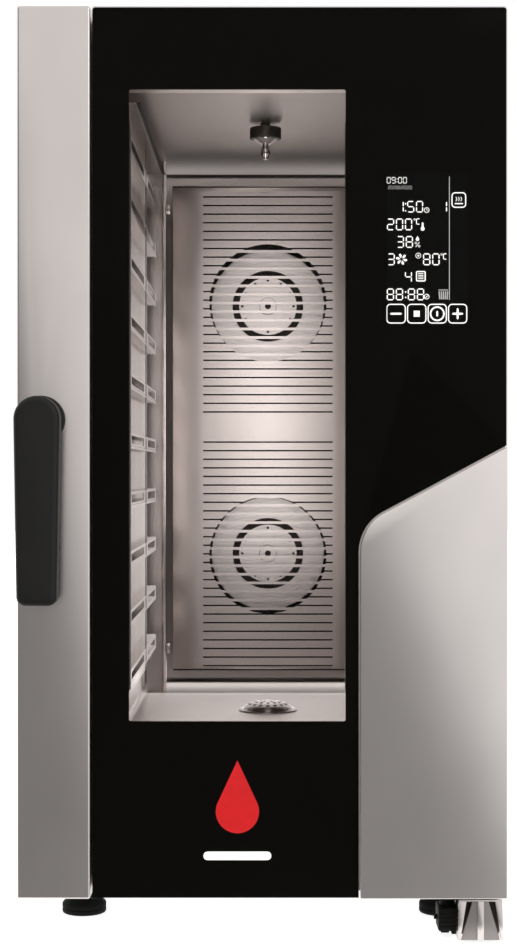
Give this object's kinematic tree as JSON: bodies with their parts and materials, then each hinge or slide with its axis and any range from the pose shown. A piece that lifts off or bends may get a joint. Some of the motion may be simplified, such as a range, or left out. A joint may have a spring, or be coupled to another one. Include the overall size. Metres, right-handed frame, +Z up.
{
  "type": "combi steamer oven",
  "caption": "Cabinet combi steamer oven with a full-width glass door, lever handle, shelf racks, fans behind a slotted guard, floor drain and levelling feet.",
  "frame": {"origin": "bottom centre of the oven's box, on the floor", "axes": "+X to the right seen from the front, +Y from the door to the rear, +Z up"},
  "size_m": [0.5244, 0.928, 1.035],
  "materials": {
    "stainless_casing": "brushed stainless sheet, satin",
    "galvanised_sheet": "galvanised sheet, dull",
    "stainless_inner": "polished stainless sheet, satin",
    "fan_steel": "bright pressed stainless",
    "mineral_wool": "fibrous wool slab",
    "seal_silicone": "matt silicone",
    "heater_sheath": "dark oxidised sheath",
    "motor_body": "painted casting",
    "nozzle_metal": "dark satin",
    "chromed_metal": "polished",
    "brass_fitting": "machined",
    "black_plastic": "moulded, matt",
    "ivory_plastic": "moulded, satin",
    "circuit_board": "lacquered board",
    "clear_glass": "clear polished",
    "black_enamel": "glossy enamel seen through glass",
    "spring_steel": "bright zinc or spring steel",
    "led_diffuser": "milky diffuser",
    "display_panel": "black display with white digits",
    "handle_plastic": "moulded, fine matt grain",
    "foot_rubber": "matt"
  },
  "bodies": {
    "cabinet": {"base_tray": "galvanised_sheet", "left_side_panel": "stainless_casing", "right_side_panel": "stainless_casing", "top_panel": "stainless_casing", "rear_panel": "galvanised_sheet", "front_frame": "stainless_inner", "chamber": "stainless_inner", "insulation_jacket": "mineral_wool", "door_seal": "seal_silicone", "fan_guard": "stainless_inner", "guard_posts": "stainless_inner", "rack_studs": "stainless_inner", "heater_upper": "heater_sheath", "heater_lower": "heater_sheath", "motor_upper": "motor_body", "motor_lower": "motor_body", "steam_injectors": "stainless_inner", "spray_nozzle": "nozzle_metal", "spray_tip": "chromed_metal", "drain_pipe": "stainless_inner", "vent_chimney": "stainless_inner", "vent_motor": "black_plastic", "water_valve": "black_plastic", "water_fitting": "brass_fitting", "drain_chute": "stainless_casing", "cable_gland": "black_plastic", "terminal_block": "ivory_plastic", "power_board": "circuit_board", "cooling_fan_frame": "black_plastic", "hinge_bracket_top": "galvanised_sheet", "hinge_bracket_bottom": "galvanised_sheet", "latch_keeper": "spring_steel", "casing_screws": "spring_steel"},
    "door": {"door_frame": "stainless_inner", "door_left_trim": "stainless_casing", "door_lower_facing": "stainless_casing", "outer_glass": "clear_glass", "glass_print": "black_enamel", "inner_glass": "clear_glass", "glass_clips": "spring_steel", "door_liner": "stainless_inner", "led_bars": "led_diffuser", "display_module": "display_panel", "control_board": "circuit_board", "hinge_bushes": "ivory_plastic", "handle_base": "handle_plastic"},
    "handle": {"handle_lever": "handle_plastic", "handle_spindle": "spring_steel", "latch_hook": "spring_steel"},
    "fan_rotor_upper": {"fan_upper": "fan_steel"},
    "fan_rotor_lower": {"fan_lower": "fan_steel"},
    "cooling_rotor": {"cooling_fan_rotor": "black_plastic"},
    "flap": {"vent_flap": "stainless_inner"},
    "left_rack": {"rack_left": "stainless_inner"},
    "right_rack": {"rack_right": "stainless_inner"},
    "strainer": {"drain_strainer": "chromed_metal"},
    "front_left_leg": {"foot_front_left": "foot_rubber"},
    "front_right_leg": {"foot_front_right": "foot_rubber"},
    "rear_left_leg": {"foot_rear_left": "foot_rubber"},
    "rear_right_leg": {"foot_rear_right": "foot_rubber"}
  },
  "joints": [
    {"name": "door_swing", "type": "hinge", "parent": "cabinet", "child": "door", "pos_m": [0.245, -0.399, 0.52], "axis": [0, 0, 1], "range_deg": [0, 110]},
    {"name": "handle_turn", "type": "hinge", "parent": "door", "child": "handle", "pos_m": [-0.234, -0.45, 0.556], "axis": [0, -1, 0], "range_deg": [0, 75]},
    {"name": "fan_upper_spin", "type": "hinge", "parent": "cabinet", "child": "fan_rotor_upper", "pos_m": [0.006, 0.286, 0.7375], "axis": [0, 1, 0], "continuous": true},
    {"name": "fan_lower_spin", "type": "hinge", "parent": "cabinet", "child": "fan_rotor_lower", "pos_m": [0.006, 0.286, 0.3845], "axis": [0, 1, 0], "continuous": true},
    {"name": "cooling_fan_spin", "type": "hinge", "parent": "cabinet", "child": "cooling_rotor", "pos_m": [0.19, 0.418, 0.122], "axis": [0, 1, 0], "continuous": true},
    {"name": "vent_flap_turn", "type": "hinge", "parent": "cabinet", "child": "flap", "pos_m": [0.066, 0.276, 0.976], "axis": [1, 0, 0], "range_deg": [0, 90]},
    {"name": "rack_left_lift", "type": "slide", "parent": "cabinet", "child": "left_rack", "axis": [0, 0, 1], "range_m": [0, 0.006]},
    {"name": "rack_right_lift", "type": "slide", "parent": "cabinet", "child": "right_rack", "axis": [0, 0, 1], "range_m": [0, 0.006]},
    {"name": "strainer_lift", "type": "slide", "parent": "cabinet", "child": "strainer", "axis": [0, 0, 1], "range_m": [0, 0.06]},
    {"name": "front_left_levelling", "type": "slide", "parent": "cabinet", "child": "front_left_leg", "axis": [0, 0, -1], "range_m": [0, 0.015]},
    {"name": "front_right_levelling", "type": "slide", "parent": "cabinet", "child": "front_right_leg", "axis": [0, 0, -1], "range_m": [0, 0.015]},
    {"name": "rear_left_levelling", "type": "slide", "parent": "cabinet", "child": "rear_left_leg", "axis": [0, 0, -1], "range_m": [0, 0.015]},
    {"name": "rear_right_levelling", "type": "slide", "parent": "cabinet", "child": "rear_right_leg", "axis": [0, 0, -1], "range_m": [0, 0.015]}
  ]
}
